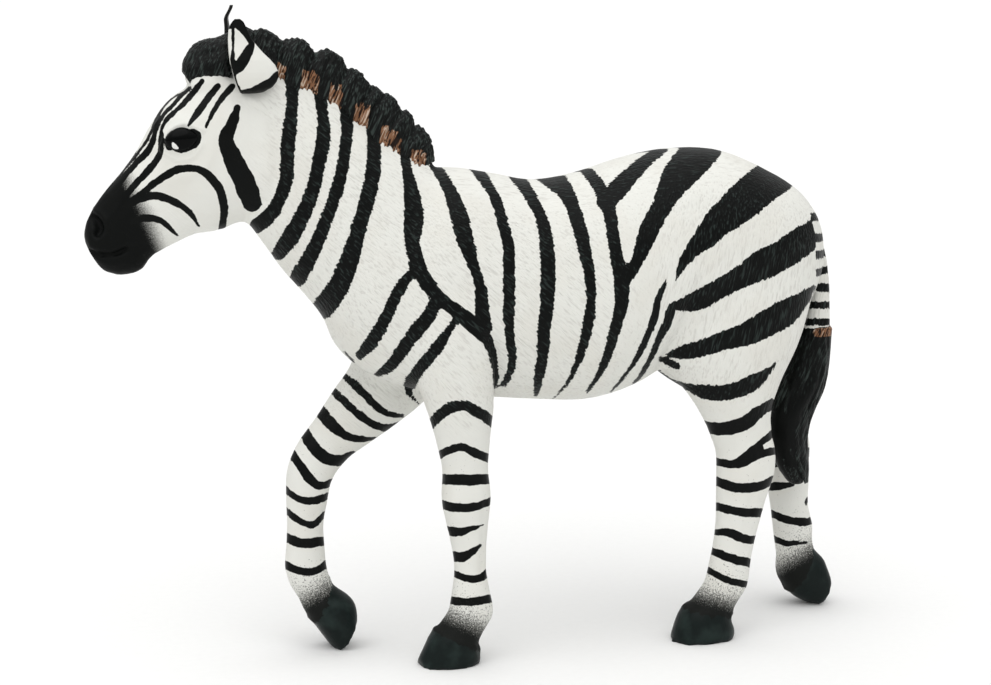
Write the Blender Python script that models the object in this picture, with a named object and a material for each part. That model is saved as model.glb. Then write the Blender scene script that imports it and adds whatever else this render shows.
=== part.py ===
"""A walking zebra figurine, moulded as one solid piece, standing on its four hooves.

It faces -X with its left side towards -Y, and the floor is z = 0. The free form is written in
120ths of its height. Each part of the body is a tube of rings, and a ring is given by two points
of the side view, such as top and bottom, with its sideways place and half its thickness there.
The tubes run into each other, are fused into one skin, and the carving is pressed into that skin.
"""
import math

import bmesh
import bpy
import numpy as np

HEIGHT = 0.120
PART = HEIGHT / 120
STANCE = 17.4 * PART
HEAD_TURN = math.radians(11)
TURN_START = -20 * PART
TURN_LENGTH = 25 * PART
MANE_LOCKS = 12
MANE_THICKNESS = 6.4 * PART
FORELOCK_ROWS = 3
FORELOCK_COLUMNS = 5
FORELOCK_THICKNESS = 8.8 * PART
EAR_LENGTH = 13.4 * PART
EAR_WIDTH = 7.8 * PART
EAR_WALL = 1.5 * PART
EYE_LENGTH = 6 * PART
EYE_HEIGHT = 4.2 * PART
TAIL_THICKNESS = 3.2 * PART
TUFT_THICKNESS = 7.6 * PART
TUFT_LOCKS = 6
SOLE_BAND = 0.25 * PART

FLESH_GRAIN = 0.6 * PART
FLESH_ROUNDS = 40
SKIN_GRAIN = 0.42 * PART
SKIN_ROUNDS = 3
RING_SIDES = 28
RING_STEPS = 5
TRIANGLES = 9400
FINENESS = 0.000025

# Rows of the body tubes: two side-view points (x, z), sideways place and half thickness. A leg's
# sideways place is a share of half the stance, and the tail's thickness a share of its own.
TRUNK = [
    (-28.8, 73, -28.8, 60, 0, 5),
    (-26, 80, -26, 55.5, 0, 9.2),
    (-18, 86, -18, 51, 0, 12.6),
    (-9, 90.3, -9, 48.6, 0, 14.2),
    (0, 89.2, 0, 47.6, 0, 15),
    (9, 87.4, 9, 46.7, 0, 16.2),
    (18, 88.5, 18, 46.2, 0, 17),
    (27, 91, 27, 48.2, 0, 16.6),
    (36, 92.3, 36, 53, 0, 15.8),
    (45, 91.8, 45, 56, 0, 15.4),
    (54, 88.2, 54, 57, 0, 14.2),
    (61, 84, 61, 60, 0, 11),
    (65.2, 79, 65.2, 66, 0, 6),
]
NECK = [
    (-45, 108.5, -47.5, 88, 0, 5.2),
    (-41, 108, -44.9, 82, 0, 5.8),
    (-36, 106.4, -41.7, 77.2, 0, 6.4),
    (-30.5, 103.4, -37.6, 71.6, 0, 7.2),
    (-24.5, 99.4, -34, 67.4, 0, 8.3),
    (-18, 94.8, -31, 63.4, 0, 9.8),
    (-11, 91, -29, 58.6, 0, 11.6),
    (-4, 88.6, -24, 54, 0, 12.8),
    (4, 84, -12, 52, 0, 12),
]
HEAD = [
    (-42.5, 107, -40.5, 88, 0, 4.6),
    (-48.3, 107.8, -44.6, 82.3, 0, 6.4),
    (-53.6, 106.4, -49.6, 80, 0, 7),
    (-58.2, 103.4, -53.8, 79.6, 0, 6.8),
    (-61.6, 98.8, -57.2, 78.1, 0, 5.8),
    (-64.3, 94, -60.2, 76.6, 0, 4.7),
    (-67.1, 90.4, -61.9, 75.5, 0, 4.1),
    (-70.3, 86.7, -62.6, 74.2, 0, 4),
    (-72.6, 83, -64, 73, 0, 4.3),
    (-73.5, 79.6, -67.5, 72.5, 0, 4),
    (-72.6, 76.8, -70.2, 73.3, 0, 2.8),
]
LEFT_FORELEG = [
    (-21, 76, 3, 74, 0.78, 6.2),
    (-19, 62, 0.4, 61, 0.98, 6.6),
    (-16.4, 52, -1.4, 52.5, 1.1, 5.4),
    (-14.1, 45.6, -2.4, 46, 1.09, 4.6),
    (-12.5, 40, -2.9, 40, 1.05, 3.9),
    (-11.6, 36, -3, 36, 1.01, 3.6),
    (-11.8, 31, -2.4, 31, 1, 3.7),
    (-10.9, 26, -2.9, 26, 1, 3.1),
    (-9.8, 21, -3.3, 21, 1, 2.7),
    (-9.4, 17, -3.3, 17, 1, 2.7),
    (-9.9, 13, -2.6, 13, 1, 3.1),
    (-10.6, 9.6, -1.9, 8.8, 1, 3.2),
    (-12.6, 7, -4, 5.4, 1, 3.2),
    (-13.6, 4.4, -5.4, 2.4, 1, 3.4),
]
LEFT_FOREHOOF = [
    (-12.4, 7, -5, 5, 1, 3.1),
    (-13.6, 5.8, -5.4, 4, 1, 4.2),
    (-15.1, 3, -4.8, 2, 1, 4.6),
    (-16.6, 0, -4.6, 0, 1, 4.9),
]
RIGHT_FORELEG = [
    (-21.6, 76, 2, 72, 0.78, 6.2),
    (-22, 62, -4, 55, 0.97, 6.4),
    (-23.4, 53.5, -9, 46, 1.06, 5.2),
    (-26.4, 49.3, -15.5, 41.2, 1.06, 4.6),
    (-30.6, 43.4, -20.6, 38.2, 1.03, 4.1),
    (-34.3, 38.6, -25, 35.4, 1.01, 3.7),
    (-36.1, 34, -27.6, 32, 1, 3.7),
    (-36.3, 29, -28.4, 28.5, 1, 3.5),
    (-36.2, 24, -29.2, 24, 1, 2.9),
    (-36.5, 19.5, -29, 19.5, 1, 2.8),
    (-36.7, 15.6, -28.6, 15, 1, 3.1),
    (-35.7, 12.3, -27.7, 12.2, 1, 3.2),
    (-33.8, 9.4, -25.8, 10.8, 1, 3.1),
    (-31.4, 6, -24.6, 8.8, 1, 3.3),
]
RIGHT_FOREHOOF = [
    (-34, 9.6, -26.4, 11, 1, 3),
    (-33, 7.4, -24.6, 9.8, 1, 4.2),
    (-30.3, 3.4, -23.4, 8, 1, 4.6),
    (-27, -1.2, -23.2, 5.8, 1, 4.5),
]
LEFT_HINDLEG = [
    (30, 80, 63, 80, 0.69, 6),
    (28.5, 66, 62.4, 72, 0.85, 7.6),
    (29.8, 57, 61, 63.5, 0.94, 7.6),
    (32.6, 51.5, 58.5, 56, 1.01, 6.8),
    (36.6, 46.8, 54.6, 48.5, 1.03, 5.6),
    (39.3, 42.6, 52.9, 43, 1.03, 4.6),
    (41, 39, 53.2, 39, 1.02, 4),
    (42.2, 35.4, 54.2, 35, 1.01, 3.8),
    (42.3, 31.2, 54, 31.2, 1, 3.8),
    (42.3, 27, 52.6, 27, 1, 3.4),
    (42.3, 22.5, 51.2, 22, 1, 3),
    (41.8, 18, 50, 17.5, 1, 2.9),
    (41, 14, 49.3, 13.4, 1, 3.1),
    (40.2, 10.8, 48.8, 9.8, 1, 3.3),
    (38, 8, 46.4, 6.2, 1, 3.2),
    (36.4, 5, 45, 2.6, 1, 3.4),
]
LEFT_HINDHOOF = [
    (37.6, 7.4, 45.6, 5, 1, 3.1),
    (35.6, 5.7, 45.2, 3.8, 1, 4.2),
    (34.4, 3, 45.9, 2, 1, 4.6),
    (33.5, 0, 46, 0, 1, 4.8),
]
RIGHT_HINDLEG = [
    (30, 80, 63, 80, 0.69, 6),
    (29, 66, 62.8, 72, 0.85, 7.6),
    (31.6, 55, 61.8, 64, 0.94, 7.4),
    (36.5, 49, 60.6, 56.5, 1.01, 6.4),
    (43.4, 44.4, 60.6, 50.6, 1.03, 5.3),
    (50, 41, 62.2, 46, 1.03, 4.5),
    (55, 37.6, 65.6, 42, 1.02, 4),
    (58.4, 33.6, 69.2, 37, 1.01, 3.8),
    (60, 29, 70.4, 31, 1, 3.6),
    (60.8, 24, 69.6, 25, 1, 3.1),
    (61.6, 19, 69.4, 20, 1, 2.9),
    (62.3, 14.4, 70.4, 15.8, 1, 3.2),
    (63, 10.2, 70.2, 12, 1, 3.1),
    (64.6, 6, 71.6, 9.4, 1, 3.3),
]
RIGHT_HINDHOOF = [
    (63, 9.4, 70, 12, 1, 3),
    (63.4, 6, 71, 10.6, 1, 4.2),
    (66.4, 1.8, 72.6, 9, 1, 4.6),
    (71.6, -0.6, 73.9, 5.4, 1, 4.3),
]
TAIL = [
    (58, 83, 60, 77, 0, 0.4),
    (62.4, 82, 62, 77, 0, 0.5),
    (66.2, 76, 63.2, 75, 0, 0.5),
    (68.4, 69, 65.2, 68.4, 0, 0.5),
    (69.1, 62, 64.8, 62, 0, 0.5),
    (69.2, 55, 63.8, 55, 0, 0.52),
    (68.4, 50, 63, 49, 0, 0.4),
]
TUFT = [
    (69.2, 59, 64.4, 59, 0, 0.42),
    (69, 52, 61.2, 51, 0, 0.75),
    (67.8, 45.6, 58.4, 45, 0, 1),
    (64.8, 40.6, 56.4, 40, 0, 1),
    (64.4, 35, 57, 34.4, 0, 0.9),
    (65, 30, 59, 29.6, 0, 0.7),
    (64.2, 26, 61.2, 26.4, 0, 0.35),
]

# Guide lines of the hair, (x, z) points of the side view.
MANE_ROOT = [(-44.5, 107), (-36, 105.5), (-28, 101), (-20, 95), (-12, 90)]
MANE_TOP = [(-46, 117.2), (-37, 115), (-28, 111.6), (-19.6, 105.4), (-11, 97)]
FORELOCK_ROOT = [(-47.6, 107), (-51.4, 106.8), (-54.2, 107)]
FORELOCK_TOP = [(-47.4, 115.4), (-52, 114.6), (-55.4, 110.8)]

# The head's middle at the eyes (x, z) and an eyeball's sideways place and bulge; each ear's root
# and tip (x, y, z), and the compass angle in degrees that its hollow is turned to.
EYE = (-56.1, 97.1)
EYE_PLACE = 5.3
EYE_BULGE = 2
LEFT_EAR = ((-42.8, -4.6, 104.9), (-46.7, -7.6, 104.9 + EAR_LENGTH / PART), 95)
RIGHT_EAR = ((-46, 4.9, 105.9), (-47.2, 7.4, 106.3 + EAR_LENGTH / PART), 180)

# Carved lines of the side view on the left, the right or both sides: points (x, z), half width
# and depth, where a depth below nought stands proud.
BOTH = (-1, 1)
CARVING = [
    (BOTH, [(-73, 77.2), (-69, 76.6), (-66, 77.4)], 0.6, 0.5),
    (BOTH, [(-71.4, 82.4), (-70.8, 81.2)], 0.9, 0.9),
    (BOTH, [(-40.4, 99), (-39.6, 92), (-41.6, 86)], 1.3, 0.35),
    (BOTH, [(-60.4, 99.4), (-57.4, 100.8), (-54, 100.4)], 1, -0.4),
    (BOTH, [(-60.6, 96.4), (-62.2, 93.6)], 1.1, 0.45),
    (BOTH, [(-61, 89), (-56, 91), (-52, 92.6)], 1.3, -0.2),
    (BOTH, [(30.6, 54.5), (32.6, 60), (34.8, 66)], 1.6, 0.5),
    ((-1,), [(-1.6, 49), (-2, 55), (-4, 61)], 1.1, 0.6),
    ((1,), [(-7, 49), (-6, 55), (-7, 61)], 1.1, 0.6),
]


def clear_scene():
    for old in list(bpy.data.objects):
        bpy.data.objects.remove(old, do_unlink=True)


def smooth_rows(rows, steps):
    """Rows along a smooth curve through the given rows, spaced by the distance between them."""
    rows = np.array(rows, float)
    gaps = np.linalg.norm(np.diff(rows, axis=0), axis=1)
    slopes = np.gradient(rows, np.concatenate([[0], np.cumsum(gaps)]), axis=0)
    out = [rows[0]]
    for k, gap in enumerate(gaps):
        for t in np.linspace(0, 1, steps + 1)[1:]:
            a = (2 * t**3 - 3 * t**2 + 1) * rows[k] + (3 * t**2 - 2 * t**3) * rows[k + 1]
            b = (t**3 - 2 * t**2 + t) * slopes[k] + (t**3 - t**2) * slopes[k + 1]
            out.append(a + gap * b)
    return np.array(out)


def ramp(values, low, high):
    """Nought below low, one above high, and a smooth rise between them."""
    t = np.clip((values - low) / (high - low), 0, 1)
    return t * t * (3 - 2 * t)


def tube_rings(rows, side=1, spread=1, widest=0.5, squareness=2.0):
    """Rings between the two side-view points of each row, in parts of the height."""
    rings = []
    for ax, az, bx, bz, y, half in smooth_rows(rows, RING_STEPS):
        a = np.array([ax, side * spread * y, az])
        b = np.array([bx, side * spread * y, bz])
        core = a + (b - a) * widest
        ring = []
        for turn in np.linspace(0, 2 * math.pi, RING_SIDES, endpoint=False):
            c = math.copysign(abs(math.cos(turn)) ** (2 / squareness), math.cos(turn))
            s = math.copysign(abs(math.sin(turn)) ** (2 / squareness), math.sin(turn))
            reach = a - core if c > 0 else core - b
            ring.append(core + reach * c + np.array([0, half * s, 0]))
        rings.append(ring)
    return rings


def flesh():
    yield tube_rings(TRUNK, widest=0.55, squareness=2.15)
    yield tube_rings(NECK, widest=0.6)
    yield tube_rings(HEAD, widest=0.42, squareness=2.2)
    for rows, side in ((LEFT_FORELEG, -1), (RIGHT_FORELEG, 1), (LEFT_HINDLEG, -1),
                       (RIGHT_HINDLEG, 1)):
        yield tube_rings(rows, side, STANCE / PART / 2)


def guide(points, count):
    """Evenly spaced points along a smooth guide line, its directions there and their spacing."""
    dense = smooth_rows(points, 12)
    run = np.concatenate([[0], np.cumsum(np.linalg.norm(np.diff(dense, axis=0), axis=1))])
    stops = run[-1] * (np.arange(count) + 0.5) / count
    spots = np.stack([np.interp(stops, run, dense[:, k]) for k in range(2)], axis=1)
    ways = np.gradient(spots, axis=0)
    return spots, ways / np.linalg.norm(ways, axis=1)[:, None], run[-1] / count


def lock_rings(root, top, along, y, depth, thick):
    """One flat lock of hair from below its root to its tip."""
    root = np.array([root[0], y, root[1]])
    top = np.array([top[0], y * 0.7, top[1]])
    along = np.array([along[0], 0, along[1]])
    shape = [(-0.3, 0.8, 0.9), (0, 1, 1), (0.4, 1.05, 0.95), (0.8, 0.9, 0.7), (0.96, 0.55, 0.4),
             (1, 0.2, 0.15)]
    rings = []
    for t, wide, fat in smooth_rows(shape, 3):
        core = root + (top - root) * t
        ring = []
        for turn in np.linspace(0, 2 * math.pi, RING_SIDES // 2, endpoint=False):
            reach = along * depth * wide * math.cos(turn)
            ring.append(core + reach + np.array([0, thick * fat * math.sin(turn), 0]))
        rings.append(ring)
    return rings


def mane():
    roots, ways, pitch = guide(MANE_ROOT, MANE_LOCKS)
    tops, _, _ = guide(MANE_TOP, MANE_LOCKS)
    half = MANE_THICKNESS / PART / 2
    for k in range(MANE_LOCKS):
        lift = 0.5 * math.sin(2.6 * k)
        top = tops[k] + np.array([0.25, 1]) * lift
        for y in (-0.36 * half, 0.36 * half):
            yield lock_rings(roots[k], top, ways[k], y, 0.74 * pitch, 0.62 * half)


def forelock():
    roots, _, _ = guide(FORELOCK_ROOT, FORELOCK_COLUMNS)
    tops, ways, pitch = guide(FORELOCK_TOP, FORELOCK_COLUMNS)
    half = FORELOCK_THICKNESS / PART / 2
    for k in range(FORELOCK_COLUMNS):
        for across in np.linspace(-0.56, 0.56, FORELOCK_ROWS):
            top = tops[k] - np.array([0, 1.2]) * abs(across)
            yield lock_rings(roots[k], top, ways[k], half * across, 0.9 * pitch, 0.44 * half)


def ear(root, tip, facing):
    """A cupped leaf from root to tip, its hollow turned to the facing angle."""
    root = np.array(root)
    tip = np.array(tip)
    face = np.array([math.cos(math.radians(facing)), math.sin(math.radians(facing)), 0])
    across = np.array([-face[1], face[0], 0])
    shape = [(-0.14, 0.5, 0.1), (0.02, 0.84, 0.5), (0.15, 0.98, 0.9), (0.28, 1, 1), (0.5, 0.78, 0.85),
             (0.75, 0.5, 0.5), (0.93, 0.28, 0.2), (1, 0.12, 0)]
    wide = EAR_WIDTH / PART / 2
    wall = EAR_WALL / PART / 2
    rings = []
    for t, width, cup in smooth_rows(shape, 4):
        ring = []
        for turn in np.linspace(0, 2 * math.pi, RING_SIDES, endpoint=False):
            u = math.cos(turn)
            bend = 0.5 * cup * wide * (u * u - 0.6)
            thick = wall * math.sin(turn) * min(0.5 + width, 1)
            ring.append(root + (tip - root) * t + across * wide * width * u + face * (bend + thick))
        rings.append(ring)
    return rings


def eyeballs():
    """Two almonds that tilt up slightly towards the ears."""
    half = EYE_LENGTH / PART / 2
    high = EYE_HEIGHT / PART / 2
    for side in (-1, 1):
        rows = []
        for t in np.linspace(-0.98, 0.98, 7):
            size = math.sqrt(1 - t * t)
            x = EYE[0] + half * t
            z = EYE[1] + 0.7 * t
            rows.append((x, z + high * size, x, z - high * size, EYE_PLACE, EYE_BULGE * size))
        yield tube_rings(rows, side)


def tuft():
    """The tail's tuft, a bundle of long locks that wind slightly round each other."""
    middle = smooth_rows(TUFT, 2)
    for lock in range(TUFT_LOCKS):
        rows = []
        for step, (ax, az, bx, bz, _, fat) in enumerate(middle):
            angle = 2 * math.pi * lock / TUFT_LOCKS + 0.09 * step
            half = fat * TUFT_THICKNESS / PART / 2
            shift = 0.24 * math.cos(angle)
            a = (ax + (bx - ax) * (0.24 + shift), az + (bz - az) * (0.24 + shift))
            b = (ax + (bx - ax) * (0.76 + shift), az + (bz - az) * (0.76 + shift))
            rows.append((*a, *b, 0.5 * half * math.sin(angle), 0.52 * half))
        tip = rows[-1]
        rows[-1] = tip[:5] + (0.2 * tip[5],)
        yield tube_rings(rows)


def trimmings():
    """Hooves, tail, mane, forelock, eyes and ears, which keep their edges."""
    for rows, side in ((LEFT_FOREHOOF, -1), (RIGHT_FOREHOOF, 1), (LEFT_HINDHOOF, -1),
                       (RIGHT_HINDHOOF, 1)):
        yield tube_rings(rows, side, STANCE / PART / 2, squareness=2.3)
    yield tube_rings([row[:5] + (row[5] * TAIL_THICKNESS / PART,) for row in TAIL])
    yield from tuft()
    yield from mane()
    yield from forelock()
    yield from eyeballs()
    yield ear(*LEFT_EAR)
    yield ear(*RIGHT_EAR)


def add_tube(bm, rings):
    """A closed tube through rings of points, its ends filled and its part below the floor cut off."""
    tube = bmesh.new()
    loops = [[tube.verts.new(point * PART) for point in ring] for ring in rings]
    for low, high in zip(loops, loops[1:]):
        for k in range(len(low)):
            n = (k + 1) % len(low)
            tube.faces.new((low[k], low[n], high[n], high[k]))
    tube.faces.new(loops[0])
    tube.faces.new(loops[-1])
    everything = tube.verts[:] + tube.edges[:] + tube.faces[:]
    bmesh.ops.bisect_plane(tube, geom=everything, plane_co=(0, 0, 0), plane_no=(0, 0, -1),
                           clear_outer=True)
    rim = [edge for edge in tube.edges if edge.is_boundary]
    if rim:
        bmesh.ops.contextual_create(tube, geom=rim)
    bmesh.ops.recalc_face_normals(tube, faces=tube.faces)
    spare = bpy.data.meshes.new("spare")
    tube.to_mesh(spare)
    tube.free()
    bm.from_mesh(spare)
    bpy.data.meshes.remove(spare)


def add_tubes(mesh, parts):
    bm = bmesh.new()
    bm.from_mesh(mesh)
    for rings in parts:
        add_tube(bm, rings)
    bm.to_mesh(mesh)
    bm.free()


def apply_modifiers(obj):
    """The object's mesh becomes what its modifiers make of it."""
    graph = bpy.context.evaluated_depsgraph_get()
    obj.data = bpy.data.meshes.new_from_object(obj.evaluated_get(graph))
    obj.modifiers.clear()


def point_array(mesh, field):
    values = np.empty(3 * len(mesh.vertices), np.float32)
    mesh.vertices.foreach_get(field, values)
    return values.reshape(-1, 3).astype(float)


def weigh(obj, name, share):
    """A vertex group whose weight at each point is share(x, z), in twentieths."""
    group = obj.vertex_groups.new(name=name)
    spots = point_array(obj.data, "co") / PART
    weights = np.round(20 * share(spots[:, 0], spots[:, 2]))
    for level in range(21):
        group.add(np.flatnonzero(weights == level).tolist(), level / 20, "REPLACE")


def fuse(obj, grain):
    skin = obj.modifiers.new("fused skin", "REMESH")
    skin.mode = "VOXEL"
    skin.voxel_size = grain
    apply_modifiers(obj)


def soften(obj, rounds, share):
    weigh(obj, "soft", share)
    ease = obj.modifiers.new("softened", "SMOOTH")
    ease.factor = 0.5
    ease.iterations = rounds
    ease.vertex_group = "soft"
    apply_modifiers(obj)
    obj.vertex_groups.clear()


def softness(x, z):
    """How far the flesh is rounded off: most on the trunk and neck, least on feet and muzzle."""
    return 0.08 + 0.92 * ramp(z, 44, 56) * ramp(x, -58, -44)


def coarseness(x, z):
    """Where the facets may be large: the trunk and legs, and not the head, hair and hooves."""
    plain = ramp(x, -44, -34) * (1 - ramp(x, 62, 64)) * ramp(z, 9, 14)
    hair = ramp(z + 0.75 * x, 78, 82) * (1 - ramp(x, -14, -8))
    return 0.1 + 0.9 * plain * (1 - hair)


def carve(mesh):
    """Presses the carved lines into the skin, or raises them, with soft shoulders."""
    spots = point_array(mesh, "co") / PART
    normals = point_array(mesh, "normal")
    push = np.zeros(len(spots))
    for sides, line, wide, depth in CARVING:
        line = smooth_rows(line, 6)
        near = np.full(len(spots), np.inf)
        for a, b in zip(line, line[1:]):
            span = b - a
            flat = spots[:, (0, 2)] - a
            t = np.clip(flat @ span / (span @ span), 0, 1)
            near = np.minimum(near, np.linalg.norm(flat - t[:, None] * span, axis=1))
        facing = sum(ramp(side * normals[:, 1], 0.2, 0.5) for side in sides)
        push += facing * depth * np.exp(-((near / wide) ** 2))
    spots -= normals * push[:, None]
    mesh.vertices.foreach_set("co", (spots * PART).ravel())


def turn_head(mesh):
    """Bends all that is ahead of the withers and above the legs sideways, along an arc."""
    spots = point_array(mesh, "co")
    radius = TURN_LENGTH / HEAD_TURN
    share = ramp(spots[:, 2] / PART, 56, 66)
    ahead = np.maximum(TURN_START - spots[:, 0], 0)
    angle = np.minimum(ahead / TURN_LENGTH, 1) * HEAD_TURN
    straight = np.maximum(ahead - TURN_LENGTH, 0)
    out = radius - spots[:, 1]
    bent = spots.copy()
    bent[:, 0] = TURN_START - out * np.sin(angle) - straight * np.cos(angle)
    bent[:, 1] = radius - out * np.cos(angle) + straight * np.sin(angle)
    moved = (ahead > 0) * share
    spots += (bent - spots) * moved[:, None]
    mesh.vertices.foreach_set("co", spots.ravel())


def thin_out(obj):
    """Fewer facets, with the finest kept on the head, the hair and the hooves."""
    weigh(obj, "coarse", coarseness)
    faces = sum(len(polygon.vertices) - 2 for polygon in obj.data.polygons)
    thin = obj.modifiers.new("fewer facets", "DECIMATE")
    thin.ratio = TRIANGLES / faces
    thin.vertex_group = "coarse"
    thin.vertex_group_factor = FINENESS * HEIGHT
    apply_modifiers(obj)
    obj.vertex_groups.clear()


def stand(mesh):
    """Flat soles on the floor, under an origin in the middle of the figure's length and width."""
    spots = point_array(mesh, "co")
    spots[spots[:, 2] < SOLE_BAND, 2] = 0
    middle = (spots.min(axis=0) + spots.max(axis=0)) / 2
    spots[:, :2] -= middle[:2]
    mesh.vertices.foreach_set("co", spots.ravel())
    mesh.update()


def painted_plastic():
    material = bpy.data.materials.new("painted plastic")
    material.use_nodes = True
    shader = material.node_tree.nodes["Principled BSDF"]
    shader.inputs["Base Color"].default_value = (0.80, 0.80, 0.77, 1)
    shader.inputs["Roughness"].default_value = 0.5
    shader.inputs["Metallic"].default_value = 0
    return material


def main():
    clear_scene()
    figure = bpy.data.objects.new("zebra", bpy.data.meshes.new("zebra"))
    bpy.context.scene.collection.objects.link(figure)
    add_tubes(figure.data, flesh())
    fuse(figure, FLESH_GRAIN)
    soften(figure, FLESH_ROUNDS, softness)
    add_tubes(figure.data, trimmings())
    fuse(figure, SKIN_GRAIN)
    soften(figure, SKIN_ROUNDS, lambda x, z: ramp(z, 0.3, 1.2))
    carve(figure.data)
    turn_head(figure.data)
    thin_out(figure)
    stand(figure.data)
    figure.data.materials.append(painted_plastic())


main()
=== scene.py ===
"""A walking zebra figurine of moulded soft plastic, painted by hand, on a pale studio floor.

The file follows the figure as it is made: the studio, the moulded body with its painted stripes,
the ears, the eyes, the mane, the forelock and the tail's tuft. All modelling is in millimetres in
the frame that the body was drawn in, side on and before its head was turned; place() then turns
the head, centres the figure and goes to metres.
"""
import math

import bmesh
import bpy
import numpy as np
from mathutils import Matrix, Vector
from mathutils.bvhtree import BVHTree
from mathutils.kdtree import KDTree


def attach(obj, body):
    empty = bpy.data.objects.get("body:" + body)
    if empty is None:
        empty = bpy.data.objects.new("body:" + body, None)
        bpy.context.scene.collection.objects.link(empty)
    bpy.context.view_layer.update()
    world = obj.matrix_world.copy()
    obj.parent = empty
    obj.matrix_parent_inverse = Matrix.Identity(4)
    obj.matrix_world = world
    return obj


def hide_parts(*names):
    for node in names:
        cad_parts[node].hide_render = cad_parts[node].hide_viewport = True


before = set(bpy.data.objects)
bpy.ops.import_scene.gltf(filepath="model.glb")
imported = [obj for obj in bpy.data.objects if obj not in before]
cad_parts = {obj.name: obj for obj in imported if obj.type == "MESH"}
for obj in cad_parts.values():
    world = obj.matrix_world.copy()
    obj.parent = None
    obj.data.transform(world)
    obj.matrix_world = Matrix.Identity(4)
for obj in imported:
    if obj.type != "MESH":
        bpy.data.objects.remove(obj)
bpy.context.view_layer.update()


# The studio: a camera a little ahead of the figure's left side and slightly above it, a wide pale
# floor of matt board, and soft white light from all round, most of it from above.
PHOTO_WIDTH = 991
PHOTO_HEIGHT = 685
FOCAL_PIXELS = 2870
SENSOR = 36
CAMERA_SIDE = math.radians(-19)
CAMERA_RISE = math.radians(10)
CAMERA_DISTANCE = 0.528
AIM = Vector((0.00105, 0, 0.0575))

camera_back = Vector((math.sin(CAMERA_SIDE) * math.cos(CAMERA_RISE),
                      -math.cos(CAMERA_SIDE) * math.cos(CAMERA_RISE), math.sin(CAMERA_RISE)))
camera_right = Vector((math.cos(CAMERA_SIDE), math.sin(CAMERA_SIDE), 0))
camera_up = camera_back.cross(camera_right)
camera_place = AIM + CAMERA_DISTANCE * camera_back


def stood(name, data):
    """An object in the scene that carries a lens, a lamp or a mesh."""
    made = bpy.data.objects.new(name, data)
    bpy.context.scene.collection.objects.link(made)
    return made


lens = bpy.data.cameras.new("camera")
lens.sensor_width = SENSOR
lens.lens = FOCAL_PIXELS * SENSOR / PHOTO_WIDTH
lens.clip_start = 0.01
camera = stood("camera", lens)
camera.matrix_world = Matrix.Translation(camera_place) @ Matrix(
    (camera_right, camera_up, camera_back)).transposed().to_4x4()
bpy.context.scene.camera = camera
bpy.context.scene.view_settings.view_transform = "Standard"


def colour(code):
    """An sRGB hex value as linear colour."""
    channels = [int(code[k:k + 2], 16) / 255 for k in (1, 3, 5)]
    return (*[c / 12.92 if c <= 0.04045 else ((c + 0.055) / 1.055) ** 2.4 for c in channels], 1.0)


def fill(tree, node, inputs):
    """Gives a node's inputs their values: a number, a hex colour or another node's output."""
    for name, value in inputs.items():
        if isinstance(value, bpy.types.NodeSocket):
            tree.links.new(value, node.inputs[name])
        else:
            node.inputs[name].default_value = colour(value) if isinstance(value, str) else value


def add(tree, kind, output, inputs=None, **settings):
    """A new node with its settings and inputs, as the output that the next node takes."""
    made = tree.nodes.new("ShaderNode" + kind)
    for name, value in settings.items():
        setattr(made, name, value)
    fill(tree, made, inputs or {})
    return made.outputs[output]


def new_material(name):
    """A material, its node tree and its Principled shader."""
    material = bpy.data.materials.new(name)
    material.use_nodes = True
    return material, material.node_tree, material.node_tree.nodes["Principled BSDF"]


def grain(tree, size_mm, detail=0.0):
    """An even speckle of a real size."""
    place_on = add(tree, "TexCoord", "Object")
    return add(tree, "TexNoise", "Fac",
               {"Vector": place_on, "Scale": 1000 / size_mm, "Detail": detail})


FLOOR_SIDE = 16
FIBRE_MM = 1.5

# Matt white card: no gloss, and pressed fibres that give it the faintest mottle. They are drawn
# coarser than real ones, so that they show.
board, tree, shader = new_material("matt_white_board")
fibres = add(tree, "Mix", "Result",
             {"Factor": grain(tree, FIBRE_MM, 2.0), "A": "#EBEBEA", "B": "#EFEFEE"},
             data_type="RGBA")
fill(tree, shader, {"Base Color": fibres, "Roughness": 0.85, "Specular IOR Level": 0.2})

floor_mesh = bpy.data.meshes.new("floor")
half = FLOOR_SIDE / 2
floor_mesh.from_pydata([(-half, -half, 0), (half, -half, 0), (half, half, 0), (-half, half, 0)], [],
                       [(0, 1, 2, 3)])
floor_mesh.materials.append(board)
floor = stood("floor", floor_mesh)

# The room: white cloth overhead that darkens towards the horizon, and one very wide soft lamp.
SKY_LOW = 0.33
SKY_HIGH = 1.26
LAMP_STRENGTH = 1.15
LAMP_SPREAD = math.radians(70)
LAMP_FROM = Vector((-0.45, -0.75, 1.5))

world = bpy.data.worlds.new("white studio")
world.use_nodes = True
tree = world.node_tree
way = add(tree, "TexCoord", "Generated")
height = add(tree, "SeparateXYZ", "Z", {"Vector": way})
glow = add(tree, "MapRange", "Result",
           {"Value": height, "From Min": 0.0, "From Max": 1.0,
            "To Min": SKY_LOW, "To Max": SKY_HIGH})
fill(tree, tree.nodes["Background"], {"Color": "#FFFFFF", "Strength": glow})
bpy.context.scene.world = world

lamp = bpy.data.lights.new("soft_lamp", "SUN")
lamp.energy = LAMP_STRENGTH
lamp.angle = LAMP_SPREAD
stood("soft_lamp", lamp).rotation_euler = LAMP_FROM.to_track_quat("Z", "Y").to_euler()


# The body, legs and head: one moulding of soft PVC, about 147 mm long. Its skin is the solid's
# own, drawn finer and eased, with the folds, eyelids, nostrils, mouth and fur of the sculptor's
# tool pressed into it. The hair and ears are sunk back where finer ones stand.
MIDDLE = np.array((0.47, -0.02, 0))
TURN = math.radians(11)
TURN_START = -20
TURN_LENGTH = 25
TURN_FADE = (56, 66)
SKIN_GRAIN = 0.66


def ramp(values, low, high):
    """Nought below low, one above high, and a smooth rise between them."""
    t = np.clip((values - low) / (high - low), 0, 1)
    return t * t * (3 - 2 * t)


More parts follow.
